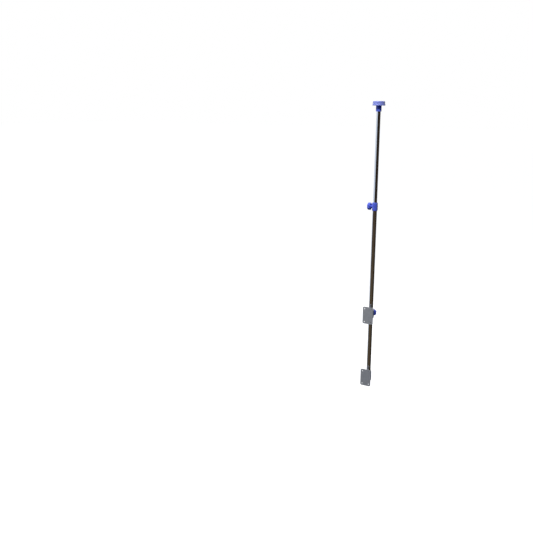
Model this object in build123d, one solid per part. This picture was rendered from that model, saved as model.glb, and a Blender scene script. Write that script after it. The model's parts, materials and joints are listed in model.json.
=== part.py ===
"""Telescopic infusion pole that hangs on the back of a treatment chair.

A stainless lower tube drops through an upper bracket ring and into a lower bracket cup.
A thinner mast slides in it and is held by a blue clamp collar with a star knob.
On top of the mast a blue round head stows two swing-out bag hooks.

Units are millimetres.  +Z is up.  The origin is the middle of the lower bracket's
mounting face, which lies in the plane y = 0 and faces -Y, towards the chair.
"""

from build123d import *
import math
import os

# ---------------------------------------------------------------- driving dimensions
POLE_Y = 40.0  # mounting faces to pole axis

LOWER_R = 11.0  # lower tube, outside
UPPER_R = 10.0  # mast tube, outside
WALL = 0.8  # both tubes
LOWER_BOTTOM = -17.0
LOWER_TOP = 912.0
UPPER_BOTTOM = 490.0

COLLAR_Z = 900.0  # middle of the clamp collar, on the knob's axis
COLLAR_HALF = 20.5
COLLAR_R_LOW = 14.3
COLLAR_R_HIGH = 13.7

HEAD_Z = 1364.5  # underside of the head's neck
NECK_R = 13.6
NECK_H = 28.0
NECK_SOCKET = 24.0  # how far the mast enters the neck
FLANGE_R = 30.9
DRUM_R = 29.4
FLANGE_H = 8.4
FLANGE_SIDE = 5.4  # height up to which the flange's side is upright
ARM_H = 7.0
ARM_GAP = 0.15  # above and below each hook arm
CAP_H = 5.8
CORE_R = 22.8
CORE_WALL = 2.4
CORE_BOSS_R = 8.0
DRUM_WALL = 2.4

ARM_IN_R = 23.3
ARM_ROOT_R = 2.2
ARM_SWEEP = 70.0  # degrees, from the pivot to the free end
SADDLE_AT = 55.0  # degrees, from the pivot to the middle of the saddle
SADDLE_LENGTH = 6.5
SADDLE_DEPTH = 2.4
HOOKS = 2
FIRST_PIVOT = -12.0  # degrees, heading of the first pivot pin
PIN_R = 1.0
PIN_SINK = 2.9  # depth of a hook's pin in the deck
PIN_RISE = 2.4  # and in the lid
TIP_GAP = 0.9  # degrees, between a stowed hook's free end and the next wall

SCREW_R = 1.55  # the two small screws in the tubes
SCREW_HOLE_R = 1.65
SCREW_HEAD_R = 3.2
SCREW_HEAD_H = 1.5
SLOT_W = 0.8

BOSS_R = 7.2
BOSS_ROOT_R = 9.4
BOSS_REACH = 9.1  # from the clamped tube to the end of the boss
KNOB_REACH = 11.4  # from the clamped tube to the grip's inner face
KNOB_R = 18.5
KNOB_LOBES = 6
SCALLOP_R = 6.6
SCALLOP_DEPTH = 2.2
KNOB_THICK = 14.6
KNOB_HUB_R = 6.8
KNOB_HUB_ROOT_R = 8.4
KNOB_HUB_H = 2.0
COVER_R = 8.9
COVER_SINK = 1.6
STUD_R = 3.0
PAD_R = 3.8

PLATE_W = 56.0
PLATE_H = 90.0
PLATE_T = 3.0
HOLE_R = 2.75
HOLE_X = 18.0
HOLE_Z = 34.0

UPPER_BRACKET_Z = 340.0
RING_HALF = 20.0
RING_R = 16.0
LINER_R = 13.5
CUP_HALF = 25.0
CUP_R = 15.0
CUP_BORE_R = 11.4
FLOOR_T = 3.0
WEB_W = 16.0

RUN = 0.05  # radial clearance of a running fit
FIT = 0.02  # radial clearance of a fixed fit
REST_GAP = 0.15  # between pieces that only rest or press on each other

# ---------------------------------------------------------------- derived levels
UPPER_TOP = HEAD_Z + NECK_SOCKET - 0.5
LOWER_BORE_R = LOWER_R - WALL
UPPER_BORE_R = UPPER_R - WALL
FLANGE_Z = HEAD_Z + NECK_H
DECK_Z = FLANGE_Z + FLANGE_H  # the deck that the hook arms slide on
CAP_Z = DECK_Z + ARM_H + 2 * ARM_GAP
HEAD_TOP = CAP_Z + CAP_H
NECK_SCREW_Z = HEAD_Z + NECK_H / 2 - 2
ARM_MID_R = (ARM_IN_R + DRUM_R) / 2
PIVOT_R = DRUM_R - ARM_ROOT_R
FOOT_FLANGE = 3.0
FOOT_BOTTOM = LOWER_BOTTOM - FOOT_FLANGE
CUP_FLOOR = -CUP_HALF + FLOOR_T
INDEX_PIN_R = 2.5
INDEX_PIN_Z = -7.0
NOTCH_HALF = INDEX_PIN_R + 0.3


# ---------------------------------------------------------------- helpers
def on_axis(shape):
    """Moves a shape modelled on the Z axis to the pole's axis."""
    return Pos(0, POLE_Y, 0) * shape


def rod(radius, low, high):
    """Upright cylinder on the Z axis between two levels."""
    return Pos(0, 0, (low + high) / 2) * Cylinder(radius, high - low)


def ring(outer, inner, low, high):
    """Upright tube on the Z axis between two levels."""
    return rod(outer, low, high) - rod(inner, low - 1, high + 1)


def turned(points):
    """Solid of revolution about Z from (radius, height) points."""
    outline = Polyline(*[(r, 0, z) for r, z in points], close=True)
    return revolve(make_face(outline), Axis.Z)


def sideways(shape, heading, height):
    """Turns a shape modelled along +Z so that it points out from the pole at a heading."""
    return Pos(0, POLE_Y, height) * Rot(0, 0, heading) * Rot(0, 90, 0) * shape


def polar(radius, degrees):
    """Point on a circle about the Z axis."""
    a = math.radians(degrees)
    return radius * math.cos(a), radius * math.sin(a)


def small_screw(tip, surface):
    """Slotted screw along +Z whose head stands just proud of a surface."""
    head = rod(SCREW_HEAD_R, surface - SCREW_HEAD_H, surface + 0.1)
    head = fillet(head.edges().group_by(Axis.Z)[-1], 0.6)
    body = head + rod(SCREW_R, tip, surface - SCREW_HEAD_H)
    return body - Pos(0, 0, surface) * Box(0.72 * 2 * SCREW_HEAD_R, SLOT_W, 1.4)


# ---------------------------------------------------------------- tubes and what is in them
def index_notch():
    """Slot across the foot of the pole that drops over the index pin."""
    top = INDEX_PIN_Z + NOTCH_HALF
    height = top - FOOT_BOTTOM + 2
    return Pos(0, 0, top - height / 2) * Box(3 * LOWER_R, 2 * NOTCH_HALF, height)


def lower_tube():
    body = ring(LOWER_R, LOWER_BORE_R, LOWER_BOTTOM, LOWER_TOP) - index_notch()
    pad_hole = sideways(rod(PAD_R + 0.4, LOWER_R - 4, LOWER_R + 2), 180, COLLAR_Z)
    screw_hole = sideways(rod(SCREW_HOLE_R, LOWER_R - 4, LOWER_R + 2), 0, COLLAR_Z)
    return on_axis(body) - pad_hole - screw_hole


def foot_plug():
    """Moulded plug that closes the lower tube and stands on the cup's rubber."""
    spigot_top = 8.0
    flange = rod(LOWER_R, FOOT_BOTTOM, LOWER_BOTTOM)
    flange = chamfer(flange.edges().group_by(Axis.Z)[0], 0.8)
    body = flange + ring(LOWER_BORE_R - FIT, 7.0, LOWER_BOTTOM, spigot_top)
    return on_axis(body - index_notch())


def upper_tube():
    body = ring(UPPER_R, UPPER_BORE_R, UPPER_BOTTOM, UPPER_TOP)
    screw_hole = sideways(rod(SCREW_HOLE_R, UPPER_R - 4, UPPER_R + 2), 90, NECK_SCREW_Z)
    return on_axis(body) - screw_hole


GUIDE_SPIGOT_R = 6.0
GUIDE_LENGTH = 12.0
GUIDE_GAP = 0.2
PLUG_SHOULDER = 3.0


def mast_end_plug():
    """Plug in the mast's lower end, with a spigot that the guide ring turns on."""
    shoulder = UPPER_BOTTOM - PLUG_SHOULDER
    spigot_end = shoulder - GUIDE_LENGTH - 2 * GUIDE_GAP - 4.0
    groove_top = shoulder - GUIDE_LENGTH - 2 * GUIDE_GAP
    body = rod(UPPER_BORE_R - FIT, UPPER_BOTTOM, UPPER_BOTTOM + 18)
    body += rod(UPPER_R, shoulder, UPPER_BOTTOM)
    body += rod(GUIDE_SPIGOT_R, spigot_end, shoulder)
    body -= ring(GUIDE_SPIGOT_R + 1, GUIDE_SPIGOT_R - 1, groove_top - 1.2, groove_top)
    return on_axis(body)


def guide_ring():
    """Plastic ring that centres the mast's lower end in the lower tube."""
    high = UPPER_BOTTOM - PLUG_SHOULDER - GUIDE_GAP
    low = high - GUIDE_LENGTH
    outer = LOWER_BORE_R - 2 * RUN
    body = ring(outer, GUIDE_SPIGOT_R + RUN, low, high)
    body -= ring(outer + 1, outer - 0.8, low + 4.5, low + 7.5)
    return on_axis(body)


def guide_clip():
    """Retaining clip in the spigot's groove, under the guide ring."""
    groove_top = UPPER_BOTTOM - PLUG_SHOULDER - GUIDE_LENGTH - 2 * GUIDE_GAP
    body = ring(GUIDE_SPIGOT_R + 2.2, GUIDE_SPIGOT_R - 0.95, groove_top - 1.1, groove_top - 0.1)
    body -= Pos(GUIDE_SPIGOT_R, 0, groove_top) * Box(8, 5, 6)
    return on_axis(body)


# ---------------------------------------------------------------- clamp collar
LIP_Z = COLLAR_HALF - 2.1
BUSH_Z = LOWER_TOP - COLLAR_Z


def collar_body():
    """Moulded collar on the lower tube's top end, with a side boss for the clamp screw."""
    half = COLLAR_HALF
    body = turned(
        [
            (9.0, -half),
            (COLLAR_R_LOW - 1.2, -half),
            (COLLAR_R_LOW, -half + 3.5),
            (COLLAR_R_HIGH, half - 3.0),
            (COLLAR_R_HIGH - 1.4, half),
            (9.0, half),
        ]
    )
    body = fillet(body.edges().filter_by(GeomType.CIRCLE).group_by(Axis.Z)[1], 2.0)
    body = Pos(0, POLE_Y, COLLAR_Z) * body
    boss_end = UPPER_R + BOSS_REACH
    boss = Pos(0, 0, (boss_end + LOWER_R) / 2) * Cone(BOSS_ROOT_R, BOSS_R, boss_end - LOWER_R)
    boss = fillet(boss.edges().group_by(Axis.Z)[-1], 0.8)
    body += sideways(boss, 180, COLLAR_Z)
    body -= on_axis(rod(LOWER_R + FIT, COLLAR_Z - half - 1, COLLAR_Z + LIP_Z))
    body -= on_axis(rod(UPPER_R + 0.4, COLLAR_Z, COLLAR_Z + half + 1))
    body -= sideways(rod(4.5, LOWER_R - 3, boss_end + 1), 180, COLLAR_Z)
    body -= sideways(rod(SCREW_HOLE_R, LOWER_R - 3, LOWER_R + 4), 0, COLLAR_Z)
    body -= sideways(rod(SCREW_HEAD_R + 0.1, COLLAR_R_LOW - SCREW_HEAD_H, COLLAR_R_LOW + 3), 0, COLLAR_Z)
    return body


def collar_bush():
    """Slippery liner that guides the mast where it leaves the collar."""
    body = ring(LOWER_R, UPPER_R + RUN, COLLAR_Z + BUSH_Z, COLLAR_Z + LIP_Z)
    return on_axis(chamfer(body.edges().group_by(Axis.Z)[-1].sort_by(SortBy.LENGTH)[0], 0.5))


def thread_insert(reach, outer):
    """Brass insert for a clamp screw.  reach is the radius of the clamped tube."""
    return ring(outer, STUD_R + RUN, reach + 3.8, reach + BOSS_REACH - 0.1)


def collar_insert():
    return sideways(thread_insert(UPPER_R, 4.5 - FIT), 180, COLLAR_Z)


def collar_screw():
    """Screw that fixes the collar to the lower tube, opposite the knob."""
    return sideways(small_screw(UPPER_R + 0.3, COLLAR_R_LOW), 0, COLLAR_Z)


# ---------------------------------------------------------------- clamp screw, used twice
def clamp_pad(reach):
    """Nylon pad on the screw's tip.  It presses on a tube of radius reach."""
    face = reach + REST_GAP
    return rod(PAD_R, face, face + 2.05) - rod(1.6, face + 1.2, face + 3)


def clamp_stud(reach):
    """Steel stud moulded into the knob, with a spigot that the pad turns on."""
    shoulder = reach + REST_GAP + 2.15
    body = rod(STUD_R, shoulder, reach + 21.0)
    body = chamfer(body.edges().group_by(Axis.Z)[0], 0.5)
    return body + rod(1.5, shoulder - 0.8, shoulder)


def star_outline():
    """Circle with round finger scallops between the lobes."""
    outline = Sketch() + Circle(KNOB_R)
    step = 360 / KNOB_LOBES
    for lobe in range(KNOB_LOBES):
        outline -= Pos(*polar(KNOB_R + SCALLOP_R - SCALLOP_DEPTH, (lobe + 0.5) * step)) * Circle(SCALLOP_R)
    return fillet(outline.vertices(), 2.2)


def knob_grip(reach):
    """Star grip with a round hub towards the clamp."""
    inner = reach + KNOB_REACH
    star = Pos(0, 0, inner) * extrude(star_outline(), KNOB_THICK)
    star = fillet(star.edges().group_by(Axis.Z)[-1], 3.0)
    star = fillet(star.edges().group_by(Axis.Z)[0], 2.0)
    hub = Pos(0, 0, inner + 0.05 - KNOB_HUB_H / 2) * Cone(KNOB_HUB_R, KNOB_HUB_ROOT_R, KNOB_HUB_H)
    body = star + hub
    body -= rod(STUD_R, reach, reach + 21.0)
    return body - rod(COVER_R + 0.1, inner + KNOB_THICK - COVER_SINK, inner + KNOB_THICK + 1)


def knob_cover(reach):
    """Snap-in cover in the middle of the grip's outer face."""
    low = reach + KNOB_REACH + KNOB_THICK - COVER_SINK
    return chamfer(rod(COVER_R, low, low + COVER_SINK + 0.3).edges().group_by(Axis.Z)[-1], 0.6)


# ---------------------------------------------------------------- head
def flange_recess():
    """Ribbed hollow under the flange, as a moulded part has."""
    hollow = ring(DRUM_R - 1.2, NECK_R + 1.8, FLANGE_Z - 1, FLANGE_Z + 4.4)
    ribs = Part()
    for rib in range(8):
        ribs += Rot(0, 0, 22.5 + 45 * rib) * Pos(DRUM_R / 2, 0, FLANGE_Z) * Box(DRUM_R, 1.4, 12)
    return hollow - ribs


def pivot_angle(hook):
    """Heading of a hook's pivot pin."""
    return FIRST_PIVOT + 360 / HOOKS * hook


def wedge(start, end):
    """Pie slice of the head in plan, as a face."""
    reach = 2 * FLANGE_R
    turns = [start + (end - start) * part / 4 for part in range(5)]
    return make_face(Polyline((0, 0), *[polar(reach, turn) for turn in turns], close=True))


def sector(outer, inner, start, end, low, high):
    """Part of an upright tube between two headings."""
    outline = (Circle(outer) - Circle(inner)) & wedge(start, end)
    return Pos(0, 0, low) * extrude(outline, high - low)


def drum_walls():
    """Hollow walls between the hooks.  They carry the lid and stop each hook."""
    walls = Part()
    for hook in range(HOOKS):
        heading = pivot_angle(hook)
        start = heading - 360 / HOOKS + ARM_SWEEP + TIP_GAP
        end = heading - math.degrees((ARM_ROOT_R + 0.25) / PIVOT_R)
        walls += sector(DRUM_R, CORE_R - CORE_WALL / 2, start, end, DECK_Z, CAP_Z)
        walls -= sector(DRUM_R - DRUM_WALL, CORE_R, start + 6, end - 6, DECK_Z, CAP_Z)
    return walls


def pin_holes(low, high):
    holes = Part()
    for hook in range(HOOKS):
        x, y = polar(PIVOT_R, pivot_angle(hook))
        holes += Pos(x, y, 0) * rod(PIN_R, low, high)
    return holes


def head_hub():
    """Neck, flange and core in one moulding.  The mast fits in from below."""
    body = turned(
        [
            (0, HEAD_Z),
            (NECK_R - 0.8, HEAD_Z),
            (NECK_R, HEAD_Z + 0.8),
            (NECK_R, FLANGE_Z),
            (FLANGE_R - 0.6, FLANGE_Z),
            (FLANGE_R, FLANGE_Z + 0.6),
            (FLANGE_R, FLANGE_Z + FLANGE_SIDE),
            (DRUM_R + 0.15, DECK_Z),
            (CORE_R, DECK_Z),
            (CORE_R, CAP_Z),
            (0, CAP_Z),
        ]
    )
    body -= flange_recess()
    body += drum_walls()
    body -= ring(CORE_R - CORE_WALL, CORE_BOSS_R, DECK_Z, CAP_Z)
    body -= pin_holes(DECK_Z - PIN_SINK - 0.1, DECK_Z + 1)
    body -= rod(UPPER_R + FIT, HEAD_Z - 1, HEAD_Z + NECK_SOCKET)
    body -= rod(2.6, HEAD_Z, CAP_Z + 1)
    body = on_axis(body)
    body -= sideways(rod(SCREW_HOLE_R, UPPER_R - 3, NECK_R + 4), 90, NECK_SCREW_Z)
    return body - sideways(rod(SCREW_HEAD_R + 0.1, NECK_R - SCREW_HEAD_H, NECK_R + 3), 90, NECK_SCREW_Z)


CAP_SCREW_HEAD_R = 4.8
CAP_SCREW_SINK = 2.3


def head_cap():
    """Round lid over the hooks, held by one countersunk screw."""
    body = turned(
        [
            (0, CAP_Z),
            (DRUM_R - 0.2, CAP_Z),
            (DRUM_R - 0.9, HEAD_TOP - 0.6),
            (0, HEAD_TOP),
        ]
    )
    rim = body.edges().filter_by(GeomType.CIRCLE).group_by(Axis.Z)[-1]
    body = fillet(rim, 1.8)
    body -= pin_holes(CAP_Z - 1, CAP_Z + PIN_RISE + 0.1)
    body -= rod(2.6, CAP_Z - 1, HEAD_TOP + 1)
    body -= rod(CAP_SCREW_HEAD_R + 0.3, HEAD_TOP - 0.9, HEAD_TOP + 1)
    sink = Cone(2.6, CAP_SCREW_HEAD_R + 0.1, CAP_SCREW_SINK)
    body -= Pos(0, 0, HEAD_TOP - 0.9 - CAP_SCREW_SINK / 2) * sink
    return on_axis(body)


def cap_screw():
    """Countersunk socket screw through the cap and hub into the mast's top plug."""
    top = HEAD_TOP - 0.95
    body = Pos(0, 0, top - CAP_SCREW_SINK / 2) * Cone(2.5, CAP_SCREW_HEAD_R, CAP_SCREW_SINK)
    body += rod(2.5, UPPER_TOP - 12, top - CAP_SCREW_SINK)
    body -= Pos(0, 0, top - 2.2) * extrude(RegularPolygon(1.7, 6), 3)
    return on_axis(body)


def mast_top_plug():
    """Threaded plug in the mast's top end."""
    body = rod(UPPER_BORE_R - FIT, UPPER_TOP - 22, UPPER_TOP) - rod(2.5, UPPER_TOP - 13, UPPER_TOP + 1)
    return on_axis(body) - sideways(rod(SCREW_HOLE_R, UPPER_R - 6, UPPER_R), 90, NECK_SCREW_Z)


def neck_screw():
    """Screw through the neck and the mast, which keeps the head from turning on the tube."""
    return sideways(small_screw(UPPER_R - 5, NECK_R), 90, NECK_SCREW_Z)


def hook_arm(hook):
    """Curved arm that stows flush in the drum and holds a bag loop in its saddle."""
    start = pivot_angle(hook)
    outline = (Circle(DRUM_R) - Circle(ARM_IN_R)) & wedge(start, start + ARM_SWEEP)
    tip = outline.vertices().sort_by_distance((*polar(ARM_MID_R, start + ARM_SWEEP), 0))[:2]
    outline = fillet(tip, 0.6)
    outline += Pos(*polar(PIVOT_R, start)) * Circle(ARM_ROOT_R)
    low = DECK_Z + ARM_GAP
    body = Pos(0, 0, low) * extrude(outline, ARM_H)
    body -= Pos(*polar(PIVOT_R, start), 0) * rod(PIN_R + RUN, low - 1, low + ARM_H + 1)
    saddle = RectangleRounded(SADDLE_LENGTH, 2 * SADDLE_DEPTH, 1.6)
    saddle = Rot(90, 0, 0) * extrude(saddle, DRUM_R - ARM_IN_R, both=True)
    saddle = Rot(0, 0, 90 + start + SADDLE_AT) * saddle
    saddle = Pos(*polar(ARM_MID_R, start + SADDLE_AT), low + ARM_H) * saddle
    return on_axis(body - saddle)


def hook_pin(hook):
    x, y = polar(PIVOT_R, pivot_angle(hook))
    pin = rod(PIN_R, DECK_Z - PIN_SINK, CAP_Z + PIN_RISE)
    pin = chamfer(pin.edges().filter_by(GeomType.CIRCLE), 0.3)
    return on_axis(Pos(x, y, 0) * pin)


# ---------------------------------------------------------------- chair brackets
def bracket_plate(height):
    """Rounded steel plate with four screw holes."""
    outline = RectangleRounded(PLATE_W, PLATE_H, 7)
    for x in (-HOLE_X, HOLE_X):
        for z in (-HOLE_Z, HOLE_Z):
            outline -= Pos(x, z) * Circle(HOLE_R)
    plate = Pos(0, PLATE_T, height) * Rot(90, 0, 0) * extrude(outline, PLATE_T)
    return plate


def web(half, height):
    """Block that joins a ring or cup to its plate, wider at the plate."""
    outline = make_face(
        Polyline(
            (-WEB_W / 2 - 3, PLATE_T),
            (WEB_W / 2 + 3, PLATE_T),
            (WEB_W / 2, PLATE_T + 8),
            (WEB_W / 2, POLE_Y),
            (-WEB_W / 2, POLE_Y),
            (-WEB_W / 2, PLATE_T + 8),
            close=True,
        )
    )
    return Pos(0, 0, height - half) * extrude(outline, 2 * half)


def upper_bracket_ring():
    """Ring and web that hold the pole upright."""
    low, high = UPPER_BRACKET_Z - RING_HALF, UPPER_BRACKET_Z + RING_HALF
    body = web(RING_HALF, UPPER_BRACKET_Z) + on_axis(rod(RING_R, low, high))
    body = fillet(body.edges().filter_by(GeomType.CIRCLE), 1.0)
    body -= on_axis(rod(LINER_R, low - 1, high + 1))
    return body - sideways(rod(PAD_R + 0.7, LINER_R - 3, RING_R + 3), 90, UPPER_BRACKET_Z)


def ring_liner():
    """Flanged plastic liner between the ring and the pole."""
    low, high = UPPER_BRACKET_Z - RING_HALF, UPPER_BRACKET_Z + RING_HALF
    body = rod(LINER_R, low, high) + rod(LINER_R + 1.6, high, high + 2)
    body = fillet(body.edges().group_by(Axis.Z)[-1], 0.8)
    body = on_axis(body - rod(LOWER_R + 0.1, low - 1, high + 3))
    return body - sideways(rod(PAD_R + 0.7, LOWER_R - 3, RING_R), 90, UPPER_BRACKET_Z)


def ring_nut():
    """Round weld nut for the lock screw, shaped to the ring."""
    body = rod(7.0, LINER_R, LOWER_R + BOSS_REACH)
    body = chamfer(body.edges().group_by(Axis.Z)[-1], 0.8)
    body -= rod(STUD_R + RUN, 0, LOWER_R + 10)
    body = sideways(body, 90, UPPER_BRACKET_Z)
    return body - on_axis(rod(RING_R, UPPER_BRACKET_Z - RING_HALF, UPPER_BRACKET_Z + RING_HALF))


def lower_bracket_cup():
    """Cup and web that carry the pole's foot."""
    body = web(CUP_HALF, 0) + on_axis(rod(CUP_R, -CUP_HALF, CUP_HALF))
    body = fillet(body.edges().filter_by(GeomType.CIRCLE), 1.0)
    body -= on_axis(rod(CUP_BORE_R, CUP_FLOOR, CUP_HALF + 1))
    body -= on_axis(rod(3.0, -CUP_HALF - 1, CUP_FLOOR + 1))
    return body - sideways(rod(INDEX_PIN_R, -20, 20), 0, INDEX_PIN_Z)


def cup_pad():
    """Rubber washer on the cup's floor."""
    return on_axis(ring(CUP_BORE_R - 0.2, 3.0, CUP_FLOOR, FOOT_BOTTOM - REST_GAP))


def index_pin():
    """Cross pin that the notched foot drops over, so the pole can't turn."""
    pin = rod(INDEX_PIN_R, -CUP_R - 1.5, CUP_R + 1.5)
    return sideways(chamfer(pin.edges().filter_by(GeomType.CIRCLE), 0.5), 0, INDEX_PIN_Z)


# ---------------------------------------------------------------- write the parts
def parts():
    made = {
        "lower_bracket_plate": bracket_plate(0),
        "lower_bracket_cup": lower_bracket_cup(),
        "cup_pad": cup_pad(),
        "index_pin": index_pin(),
        "upper_bracket_plate": bracket_plate(UPPER_BRACKET_Z),
        "upper_bracket_ring": upper_bracket_ring(),
        "ring_liner": ring_liner(),
        "ring_nut": ring_nut(),
        "lower_tube": lower_tube(),
        "foot_plug": foot_plug(),
        "collar_body": collar_body(),
        "collar_bush": collar_bush(),
        "collar_insert": collar_insert(),
        "collar_screw": collar_screw(),
        "guide_ring": guide_ring(),
        "guide_clip": guide_clip(),
        "mast_end_plug": mast_end_plug(),
        "upper_tube": upper_tube(),
        "mast_top_plug": mast_top_plug(),
        "head_hub": head_hub(),
        "head_cap": head_cap(),
        "cap_screw": cap_screw(),
        "neck_screw": neck_screw(),
    }
    clamps = {
        "clamp": (UPPER_R, 180, COLLAR_Z),
        "lock": (LOWER_R, 90, UPPER_BRACKET_Z),
    }
    for name, (reach, heading, height) in clamps.items():
        made[f"{name}_pad"] = sideways(clamp_pad(reach), heading, height)
        made[f"{name}_stud"] = sideways(clamp_stud(reach), heading, height)
        made[f"{name}_knob"] = sideways(knob_grip(reach), heading, height)
        made[f"{name}_knob_cover"] = sideways(knob_cover(reach), heading, height)
    for hook in range(HOOKS):
        made[f"hook_arm_{hook + 1}"] = hook_arm(hook)
        made[f"hook_pin_{hook + 1}"] = hook_pin(hook)
    return made


os.makedirs("parts", exist_ok=True)
for name, shape in parts().items():
    export_step(shape, f"parts/{name}.step")
    print(name, round(shape.volume))
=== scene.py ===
"""Looks of the chair-mounted infusion pole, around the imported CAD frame.

Metres, +Z up.  The pole's axis is vertical, the chair's back would be the plane y = 0, and
the collar's star knob points to -X.
"""

import json
import math

import bmesh
import bpy
from mathutils import Matrix, Vector


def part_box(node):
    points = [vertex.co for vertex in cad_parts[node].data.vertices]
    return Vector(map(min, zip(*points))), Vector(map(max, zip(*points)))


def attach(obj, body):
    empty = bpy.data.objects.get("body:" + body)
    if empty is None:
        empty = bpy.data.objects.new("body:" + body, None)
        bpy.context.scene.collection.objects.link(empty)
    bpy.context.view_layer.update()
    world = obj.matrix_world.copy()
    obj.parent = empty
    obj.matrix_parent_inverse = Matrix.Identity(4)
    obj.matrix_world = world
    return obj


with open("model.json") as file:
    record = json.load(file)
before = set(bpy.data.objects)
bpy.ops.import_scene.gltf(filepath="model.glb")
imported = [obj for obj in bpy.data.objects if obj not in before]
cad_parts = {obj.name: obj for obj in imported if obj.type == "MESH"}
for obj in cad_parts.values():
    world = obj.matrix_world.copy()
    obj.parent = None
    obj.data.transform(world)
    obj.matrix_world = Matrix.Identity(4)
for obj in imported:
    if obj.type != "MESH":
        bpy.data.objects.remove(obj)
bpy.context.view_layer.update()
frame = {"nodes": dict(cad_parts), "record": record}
NODES = frame["nodes"]
MM = 0.001


# ---------------------------------------------------------------- places, from the frame
def corners_of(node):
    low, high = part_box(node)
    return Vector(low), Vector(high)


AXIS = sum(corners_of("lower_tube"), Vector()) / 2
ARM_TO_RIM_LOW = 8.55 * MM  # from the hook arms' underside down to the rim's lower edge
RIM_LOW = corners_of("hook_arm_1")[0].z - ARM_TO_RIM_LOW
FLOOR_Z = -0.1625


# ---------------------------------------------------------------- node helpers
# The owner of a node is a material or the world.
def add(owner, kind, **settings):
    node = owner.node_tree.nodes.new(kind)
    for key, value in settings.items():
        setattr(node, key, value)
    return node


def link(owner, source, target):
    owner.node_tree.links.new(source, target)


def span(owner, value, low, high, start=0.3, end=0.7):
    """Maps a value from start..end to low..high, clamped."""
    mapped = add(owner, "ShaderNodeMapRange")
    mapped.inputs["From Min"].default_value = start
    mapped.inputs["From Max"].default_value = end
    mapped.inputs["To Min"].default_value = low
    mapped.inputs["To Max"].default_value = high
    link(owner, value, mapped.inputs["Value"])
    return mapped.outputs["Result"]


def ramp(owner, value, *stops):
    """Colour ramp through (position, colour) stops."""
    node = add(owner, "ShaderNodeValToRGB")
    elements = node.color_ramp.elements
    while len(elements) < len(stops):
        elements.new(0.5)
    for element, (position, colour) in zip(elements, stops):
        element.position = position
        element.color = (*colour, 1)
    link(owner, value, node.inputs["Fac"])
    return node.outputs["Color"]


def mix_colour(owner, amount, first, second):
    node = add(owner, "ShaderNodeMixRGB")
    link(owner, amount, node.inputs["Fac"])
    link(owner, first, node.inputs["Color1"])
    if isinstance(second, tuple):
        node.inputs["Color2"].default_value = (*second, 1)
    else:
        link(owner, second, node.inputs["Color2"])
    return node.outputs["Color"]


def new_material(name):
    """Empty node material and its Principled shader."""
    material = bpy.data.materials.new(name)
    material.use_nodes = True
    shader = material.node_tree.nodes["Principled BSDF"]
    return material, shader


def coordinates(material, scale=(1, 1, 1)):
    """Object coordinates in metres, stretched by a scale per axis."""
    where = add(material, "ShaderNodeTexCoord")
    mapping = add(material, "ShaderNodeMapping")
    mapping.inputs["Scale"].default_value = scale
    link(material, where.outputs["Object"], mapping.inputs["Vector"])
    return mapping.outputs["Vector"]


def noise(material, scale, detail=3.0, stretch=(1, 1, 1), roughness=0.55):
    """Noise value.  Scale is in features per metre."""
    texture = add(material, "ShaderNodeTexNoise")
    texture.inputs["Scale"].default_value = scale
    texture.inputs["Detail"].default_value = detail
    texture.inputs["Roughness"].default_value = roughness
    link(material, coordinates(material, stretch), texture.inputs["Vector"])
    return texture.outputs["Fac"]


def bump(material, shader, height, depth, under=None):
    """Bump of a depth in metres, on top of an earlier bump."""
    node = add(material, "ShaderNodeBump")
    node.inputs["Strength"].default_value = 1.0
    node.inputs["Distance"].default_value = depth
    link(material, height, node.inputs["Height"])
    if under is not None:
        link(material, under, node.inputs["Normal"])
    link(material, node.outputs["Normal"], shader.inputs["Normal"])
    return node.outputs["Normal"]


# ---------------------------------------------------------------- materials
def polished_steel():
    """Polished stainless tube: slight waves, faint lengthwise polishing lines and smears."""
    material, shader = new_material("polished_steel")
    shader.inputs["Metallic"].default_value = 1.0
    lines = noise(material, 1.0, 2.0, stretch=(2600, 2600, 14))
    smears = noise(material, 38.0, 4.0, stretch=(1, 1, 0.45))
    tint = ramp(material, smears, (0.30, (0.69, 0.70, 0.725)), (0.72, (0.80, 0.805, 0.82)))
    link(material, tint, shader.inputs["Base Color"])
    line_roughness = 0.05
    mixed = add(material, "ShaderNodeMath", operation="MULTIPLY_ADD")
    mixed.inputs[1].default_value = line_roughness
    link(material, lines, mixed.inputs[0])
    link(material, span(material, smears, 0.075, 0.16), mixed.inputs[2])
    link(material, mixed.outputs["Value"], shader.inputs["Roughness"])
    waves = noise(material, 1.0, 2.0, stretch=(90, 90, 9))
    wavy = bump(material, shader, waves, depth=2.5e-5)
    bump(material, shader, lines, depth=3.5e-6, under=wavy)
    return material


def plated_steel():
    """Bright zinc plate on screws, studs and pins: cool, slightly cloudy, finely grained."""
    material, shader = new_material("plated_steel")
    shader.inputs["Metallic"].default_value = 1.0
    clouds = noise(material, 240.0, 4.0)
    tint = ramp(material, clouds, (0.32, (0.56, 0.58, 0.62)), (0.70, (0.74, 0.74, 0.73)))
    link(material, tint, shader.inputs["Base Color"])
    link(material, span(material, clouds, 0.20, 0.34), shader.inputs["Roughness"])
    bump(material, shader, noise(material, 5200.0, 2.0), depth=6e-6)
    return material


def turned_metal(name, dark, light, low, high, pitch):
    """Turned metal: fine tool rings across X and cloudy tarnish, duller where it is dark."""
    material, shader = new_material(name)
    shader.inputs["Metallic"].default_value = 1.0
    tarnish = noise(material, 300.0, 5.0)
    link(material, ramp(material, tarnish, (0.3, dark), (0.72, light)), shader.inputs["Base Color"])
    link(material, span(material, tarnish, high, low), shader.inputs["Roughness"])
    rings = add(material, "ShaderNodeTexWave", bands_direction="X")
    rings.inputs["Scale"].default_value = pitch
    rings.inputs["Distortion"].default_value = 0.4
    link(material, coordinates(material, (1, 0.02, 1)), rings.inputs["Vector"])
    bump(material, shader, rings.outputs["Fac"], depth=6e-6)
    return material


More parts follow.
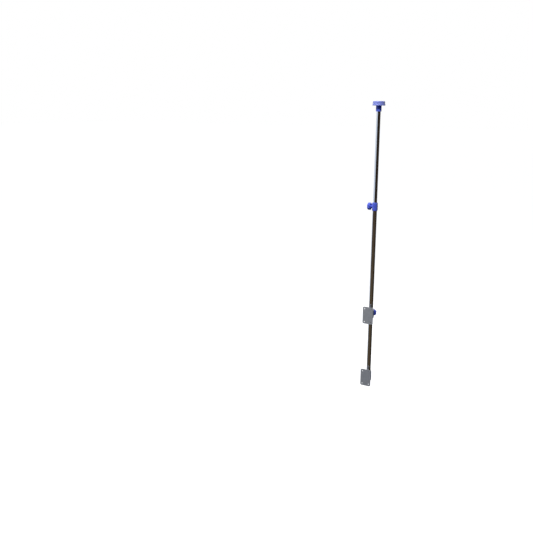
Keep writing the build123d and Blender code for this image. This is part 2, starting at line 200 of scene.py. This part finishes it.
def blue_plastic(name, blues, painted_sheen_blues=None):
    """Blue moulding: flow variation, orange peel, spark-eroded grain and dull scuffs.

    Blues are the (deep, pale) ends of the flow variation.  Painted sheen blues, where given, are
    paler colours from the rim's lower edge upwards: a painted whitish sheen of the top light.
    """
    material, shader = new_material(name)
    flow = noise(material, 26.0, 3.0)
    deep, pale = blues
    colour = ramp(material, flow, (0.30, deep), (0.72, pale))
    # painted sheen: a paler blue from the rim's lower edge up stands in for the top light's whitish
    # sheen
    if painted_sheen_blues:
        blend = 0.2 * MM
        split = add(material, "ShaderNodeSeparateXYZ")
        link(material, coordinates(material), split.inputs["Vector"])
        over = span(material, split.outputs["Z"], 0.0, 1.0, RIM_LOW - blend, RIM_LOW + blend)
        deep, pale = painted_sheen_blues
        upper = ramp(material, flow, (0.30, deep), (0.72, pale))
        colour = mix_colour(material, over, colour, upper)
    link(material, colour, shader.inputs["Base Color"])
    scuffs = noise(material, 160.0, 6.0, roughness=0.7)
    link(material, span(material, scuffs, 0.38, 0.52, 0.42, 0.70), shader.inputs["Roughness"])
    shader.inputs["Specular IOR Level"].default_value = 0.35
    shader.inputs["Sheen Weight"].default_value = 0.30
    shader.inputs["Sheen Roughness"].default_value = 0.8
    shader.inputs["Sheen Tint"].default_value = (0.86, 0.90, 1.0, 1)
    peel = bump(material, shader, noise(material, 330.0, 2.0), depth=5e-6)
    bump(material, shader, noise(material, 4200.0, 2.0), depth=3e-6, under=peel)
    return material


def powder_coat():
    """Grey powder coat: pebbled orange peel, slight mottling, dull where it is rubbed."""
    material, shader = new_material("powder_coat")
    mottle = noise(material, 70.0, 4.0)
    tint = ramp(material, mottle, (0.30, (0.35, 0.36, 0.37)), (0.72, (0.43, 0.44, 0.45)))
    link(material, tint, shader.inputs["Base Color"])
    link(material, span(material, mottle, 0.46, 0.60), shader.inputs["Roughness"])
    pebbles = add(material, "ShaderNodeTexVoronoi", feature="SMOOTH_F1")
    pebbles.inputs["Scale"].default_value = 900.0
    link(material, coordinates(material), pebbles.inputs["Vector"])
    peel = bump(material, shader, pebbles.outputs["Distance"], depth=3.5e-5)
    bump(material, shader, noise(material, 260.0, 2.0), depth=2.5e-5, under=peel)
    return material


def moulded(name, dark, light, low, high, grain):
    """Matt moulded plastic or rubber with a fine grain."""
    material, shader = new_material(name)
    patches = noise(material, 110.0, 4.0)
    link(material, ramp(material, patches, (0.3, dark), (0.7, light)), shader.inputs["Base Color"])
    link(material, span(material, patches, low, high), shader.inputs["Roughness"])
    bump(material, shader, noise(material, 2600.0, 3.0), depth=grain)
    return material


BLUE = ((0.028, 0.070, 0.65), (0.038, 0.086, 0.72))
NECK_BLUE = ((0.045, 0.095, 0.62), (0.056, 0.112, 0.68))
# paler blue of the head's rim, lid and hook arms: the blue plastic with a painted whitish sheen of the
# top light
SHEEN_PAINTED_BLUE = ((0.135, 0.172, 0.545), (0.158, 0.196, 0.60))
BRASS = ((0.44, 0.28, 0.09), (0.72, 0.50, 0.20))
ALUMINIUM = ((0.60, 0.61, 0.62), (0.80, 0.80, 0.81))
NYLON = ((0.66, 0.64, 0.58), (0.78, 0.77, 0.72))
BLACK = ((0.010, 0.010, 0.011), (0.020, 0.020, 0.022))
RUBBER = ((0.012, 0.012, 0.012), (0.030, 0.029, 0.028))

MATERIALS = {
    "polished_steel": polished_steel(),
    "plated_steel": plated_steel(),
    "brass": turned_metal("brass", *BRASS, 0.18, 0.36, pitch=420.0),
    "aluminium": turned_metal("aluminium", *ALUMINIUM, 0.22, 0.36, pitch=380.0),
    "blue_plastic": blue_plastic("blue_plastic", BLUE),
    "bracket_paint": powder_coat(),
    "white_nylon": moulded("white_nylon", *NYLON, 0.42, 0.58, grain=8e-6),
    "black_plastic": moulded("black_plastic", *BLACK, 0.4, 0.6, grain=1.2e-5),
    "black_rubber": moulded("black_rubber", *RUBBER, 0.72, 0.9, grain=2e-5),
}

# the head's rim, lid and hook arms take the paler blue: painted sheen of the top light
HEAD_MATERIALS = {
    "head_hub": blue_plastic("blue_head_painted_sheen", NECK_BLUE, SHEEN_PAINTED_BLUE),
    "head_cap": blue_plastic("blue_lid_painted_sheen", SHEEN_PAINTED_BLUE),
}
HEAD_MATERIALS["hook_arm_1"] = HEAD_MATERIALS["hook_arm_2"] = HEAD_MATERIALS["head_cap"]


def dress(piece, slot):
    """Gives a mesh one material, the record's slot of that name."""
    piece.data.materials.clear()
    piece.data.materials.append(MATERIALS[slot])


def dress_cad():
    for row in frame["record"]["subparts"]:
        dress(NODES[row["node"]], row["material_slot"])
    for node, material in HEAD_MATERIALS.items():
        NODES[node].data.materials[0] = material


dress_cad()


# ---------------------------------------------------------------- welds of the brackets
WEB_FOOT = 11 * MM  # half the width over a web's two welds
FILLET_R = 1.5 * MM
FILLET_INSET = 2.5 * MM  # from a web's end to its weld's end
FILLET_PITCH = 0.45 * MM  # between a weld's rings of points
NUT_FILLET_R = 1.0 * MM
NUT_RINGS = 100
ARC_STEPS = 8  # facets over a bead's arc
ARC_OF_HALF_TURN = 1.15
SINK = 0.15  # of a bead's radius, into the metal
BOW = 0.35  # of a bead's radius, how far a ripple's crown leads its edges
END_SWELL = 0.35  # of a bead's radius, at an open end
END_GROWTH = 0.22  # per ring, from an open end
RIPPLE_RINGS = 5  # from one ripple of a bead to the next
RIPPLE = 0.10  # of a bead's radius
WOBBLE_TURN = 1.7  # radians per ring
WOBBLE = 0.05  # of a bead's radius
FILLET_LEAN = 0.6  # sideways part of a web fillet's bulge, its part along +Y being 1
NUT_LEAN = 0.8  # the nut fillet's bulge along +Y, its part away from the nut being 1


def ring_swell(i, count, closed):
    """A ring's radius over the bead's: tapered at open ends, and rippled."""
    end = 1.0 if closed else min(1.0, END_SWELL + END_GROWTH * min(i, count - 1 - i))
    ripple = RIPPLE * math.sin(i * 2 * math.pi / RIPPLE_RINGS)
    return end * (1.0 + ripple + WOBBLE * math.sin(i * WOBBLE_TURN))


def weld_bead(name, points, outward, radius, closed=False):
    """Rippled half-round bead along points.  Outward gives the way each ring bulges."""
    mesh = bmesh.new()
    rows = []
    count = len(points)
    for i, (point, out) in enumerate(zip(points, outward)):
        before, after = points[i - 1], points[(i + 1) % count]
        if not closed:
            before, after = points[max(i - 1, 0)], points[min(i + 1, count - 1)]
        along = (after - before).normalized()
        across = along.cross(out).normalized()
        swell = radius * ring_swell(i, count, closed)
        row = []
        for step in range(ARC_STEPS + 1):
            a = math.pi * (step / ARC_STEPS - 0.5) * ARC_OF_HALF_TURN
            spot = point + out * (math.cos(a) * swell - SINK * radius)
            spot += across * (math.sin(a) * swell) + along * BOW * radius * math.cos(a)
            row.append(mesh.verts.new(spot))
        rows.append(row)
    for i in range(count if closed else count - 1):
        a, b = rows[i], rows[(i + 1) % count]
        for k in range(len(a)):
            n = (k + 1) % len(a)
            mesh.faces.new((a[k], a[n], b[n], b[k]))
    if not closed:
        mesh.faces.new(rows[0])
        mesh.faces.new(list(reversed(rows[-1])))
    bmesh.ops.recalc_face_normals(mesh, faces=mesh.faces)
    for face in mesh.faces:
        face.smooth = True
    data = bpy.data.meshes.new(name)
    mesh.to_mesh(data)
    mesh.free()
    bead = bpy.data.objects.new(name, data)
    bpy.context.scene.collection.objects.link(bead)
    dress(bead, "bracket_paint")
    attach(bead, "brackets")
    return bead


def bracket_welds(label, web_node, plate_node):
    """Two upright fillet welds where the web meets the plate."""
    low, high = corners_of(web_node)
    face = corners_of(plate_node)[1].y
    length = high.z - low.z - 2 * FILLET_INSET
    count = int(length / FILLET_PITCH)
    heights = [low.z + FILLET_INSET + length * i / (count - 1) for i in range(count)]
    for side, x in (("left", -WEB_FOOT), ("right", WEB_FOOT)):
        points = [Vector((x, face, z)) for z in heights]
        out = Vector((math.copysign(FILLET_LEAN, x), 1.0, 0)).normalized()
        weld_bead(f"weld_{label}_{side}", points, [out] * count, FILLET_R)


def nut_weld():
    """Round fillet weld between the lock screw's nut and the ring's round wall."""
    low, high = corners_of("ring_nut")
    middle = (low + high) / 2
    radius = (high.x - low.x) / 2
    ring_radius = corners_of("upper_bracket_ring")[1].y - AXIS.y
    points = []
    outward = []
    for i in range(NUT_RINGS):
        a = 2 * math.pi * i / NUT_RINGS
        x, z = radius * math.cos(a), radius * math.sin(a)
        y = AXIS.y + math.sqrt(ring_radius**2 - x * x)
        points.append(Vector((middle.x + x, y, middle.z + z)))
        outward.append(Vector((math.cos(a), NUT_LEAN, math.sin(a))).normalized())
    weld_bead("weld_nut", points, outward, NUT_FILLET_R, closed=True)


bracket_welds("lower", "lower_bracket_cup", "lower_bracket_plate")
bracket_welds("upper", "upper_bracket_ring", "upper_bracket_plate")
nut_weld()


# ---------------------------------------------------------------- camera
EYE = Vector((1.3137, AXIS.y - 3.2247, FLOOR_Z + 1.5676))
HEADING = math.radians(-31.116)  # from +Y, towards +X
PITCH = math.radians(13.327)  # below the horizon
ROLL = math.radians(0.16)
LENS = 46.74
SENSOR = 36.0


def make_camera():
    data = bpy.data.cameras.new("camera")
    data.lens = LENS
    data.sensor_width = SENSOR
    data.clip_end = 60
    camera = bpy.data.objects.new("camera", data)
    bpy.context.scene.collection.objects.link(camera)
    level = math.cos(PITCH)
    forward = Vector((math.sin(HEADING) * level, math.cos(HEADING) * level, -math.sin(PITCH)))
    turn = forward.to_track_quat("-Z", "Y").to_matrix() @ Matrix.Rotation(ROLL, 3, "Z")
    camera.matrix_world = Matrix.Translation(EYE) @ turn.to_4x4()
    bpy.context.scene.camera = camera


make_camera()


# ---------------------------------------------------------------- floor and reflection card
FLOOR_REACH = 40.0
CARD_HEADINGS = (-25, -40, -55, -70, -85, -100, -115, -130, -145, -160, -173)  # from +X
CARD_R = 0.42
CARD_TOP = 0.86
CARD_LIFT = 0.02  # above the floor
GLOW_START = 0.42  # height from which the card's glow changes


def stage_object(name, corners, faces, material):
    """Mesh of the studio, not of the pole."""
    mesh = bpy.data.meshes.new(name)
    mesh.from_pydata(corners, [], faces)
    mesh.materials.append(material)
    piece = bpy.data.objects.new(name, mesh)
    bpy.context.scene.collection.objects.link(piece)
    piece.visible_diffuse = False
    return piece


def make_floor():
    """White floor that takes the lights' soft shadows."""
    material, shader = new_material("studio_floor")
    grey = ramp(material, noise(material, 3.0, 5.0), (0.3, (0.30,) * 3), (0.7, (0.32,) * 3))
    link(material, grey, shader.inputs["Base Color"])
    shader.inputs["Roughness"].default_value = 0.9
    shader.inputs["Emission Color"].default_value = (1, 1, 1, 1)
    shader.inputs["Emission Strength"].default_value = 0.95
    signs = ((-1, -1), (1, -1), (1, 1), (-1, 1))
    corners = [(x * FLOOR_REACH, y * FLOOR_REACH, FLOOR_Z) for x, y in signs]
    floor = stage_object("studio_floor", corners, [(0, 1, 2, 3)], material)
    floor.visible_glossy = False


def make_flag():
    """Card that only reflections see.  It stands for the brown chair before the lower tube."""
    material, shader = new_material("flag")
    place = add(material, "ShaderNodeNewGeometry")
    split = add(material, "ShaderNodeSeparateXYZ")
    link(material, place.outputs["Position"], split.inputs["Vector"])
    height = span(material, split.outputs["Z"], 0.0, 1.0, GLOW_START, CARD_TOP)
    stops = (
        (0.0, (0.088, 0.066, 0.042)),
        (0.45, (0.074, 0.052, 0.033)),
        (1.0, (0.068, 0.050, 0.034)),
    )
    link(material, ramp(material, height, *stops), shader.inputs["Emission Color"])
    shader.inputs["Emission Strength"].default_value = 1.0
    shader.inputs["Base Color"].default_value = (0, 0, 0, 1)
    shader.inputs["Specular IOR Level"].default_value = 0.0
    corners = []
    for heading in CARD_HEADINGS:
        a = math.radians(heading)
        x, y = AXIS.x + CARD_R * math.cos(a), AXIS.y + CARD_R * math.sin(a)
        corners += [(x, y, FLOOR_Z + CARD_LIFT), (x, y, CARD_TOP)]
    faces = [(2 * i, 2 * i + 2, 2 * i + 3, 2 * i + 1) for i in range(len(CARD_HEADINGS) - 1)]
    flag = stage_object("flag", corners, faces, material)
    flag.visible_camera = False
    flag.visible_shadow = False


make_floor()


# ---------------------------------------------------------------- world
BRIGHT_HEADING = 184.7  # degrees from +X, where the room is bright
BRIGHT_LIFT = 0.25  # the bright side leans this far upwards
ROOM = (
    (0.0, (0.034, 0.024, 0.016)),
    (0.30, (0.018, 0.010, 0.005)),
    (0.645, (0.014, 0.007, 0.003)),
    (0.70, (0.60, 0.68, 0.80)),
    (0.85, (0.78, 0.86, 0.97)),
    (1.0, (0.70, 0.77, 0.88)),
)
STRIP_HEADING = 100.0
STRIP_EDGES = (0.92, 0.985)  # cosines where the light strip starts and is full
STRIP_COLOUR = (0.50, 0.55, 0.63)
FILL_COLOUR = (0.04, 0.06, 0.12)


def towards(world, heading, lift):
    """How far a ray points to a heading, from -1 to 1."""
    where = add(world, "ShaderNodeTexCoord")
    dot = add(world, "ShaderNodeVectorMath", operation="DOT_PRODUCT")
    a = math.radians(heading)
    dot.inputs[1].default_value = (math.cos(a), math.sin(a), lift)
    link(world, where.outputs["Generated"], dot.inputs[0])
    return dot.outputs["Value"]


def background(world, colour):
    node = add(world, "ShaderNodeBackground")
    if isinstance(colour, tuple):
        node.inputs["Color"].default_value = (*colour, 1)
    else:
        link(world, colour, node.inputs["Color"])
    return node.outputs["Background"]


def choose(world, condition, otherwise, then):
    """The world that a ray sees, by what kind of ray it is."""
    node = add(world, "ShaderNodeMixShader")
    link(world, condition, node.inputs["Fac"])
    link(world, otherwise, node.inputs[1])
    link(world, then, node.inputs[2])
    return node.outputs["Shader"]


def make_world():
    """White to the camera and a dim fill to diffuse rays.

    Reflections see a room: bright to the left, dim brown to the right, a light strip behind.
    """
    world = bpy.data.worlds.new("studio")
    world.use_nodes = True
    bpy.context.scene.world = world
    world.node_tree.nodes.clear()
    side = span(world, towards(world, BRIGHT_HEADING, BRIGHT_LIFT), 0.0, 1.0, -1.0, 1.0)
    strip = span(world, towards(world, STRIP_HEADING, 0.0), 0.0, 1.0, *STRIP_EDGES)
    room = mix_colour(world, strip, ramp(world, side, *ROOM), STRIP_COLOUR)
    path = add(world, "ShaderNodeLightPath").outputs
    lit = choose(world, path["Is Diffuse Ray"], background(world, room), background(world, FILL_COLOUR))
    seen = choose(world, path["Is Camera Ray"], lit, background(world, (1, 1, 1)))
    link(world, seen, add(world, "ShaderNodeOutputWorld").inputs["Surface"])


make_world()


# ---------------------------------------------------------------- lights
# Name, place, height aimed at, width, watts, colour, whether reflections see it.
LIGHTS = (
    ("key", (0.25, -2.0, 3.5), 1.1, 0.8, 98.0, (1.0, 0.98, 0.94), True),
    ("side", (-2.2, -1.6, 1.9), 1.0, 0.9, 10.0, (0.97, 0.98, 1.0), False),
    ("top", (-0.2, -0.1, 2.6), 1.0, 0.9, 13.0, (1.0, 1.0, 1.0), True),
    ("back", (-0.75, 1.9, 1.3), 0.5, 1.2, 26.0, (0.98, 0.99, 1.0), False),
)


def area_light(name, place, aim, width, watts, colour, reflected):
    data = bpy.data.lights.new(name, "AREA")
    data.shape = "RECTANGLE"
    data.size = data.size_y = width
    data.energy = watts
    data.color = colour
    lamp = bpy.data.objects.new(name, data)
    bpy.context.scene.collection.objects.link(lamp)
    lamp.location = place
    lamp.rotation_mode = "QUATERNION"
    way = Vector((AXIS.x, AXIS.y, aim)) - Vector(place)
    lamp.rotation_quaternion = way.to_track_quat("-Z", "Y")
    lamp.visible_camera = False
    lamp.visible_glossy = reflected


for light in LIGHTS:
    area_light(*light)
make_flag()
bpy.context.scene.view_settings.view_transform = "Standard"
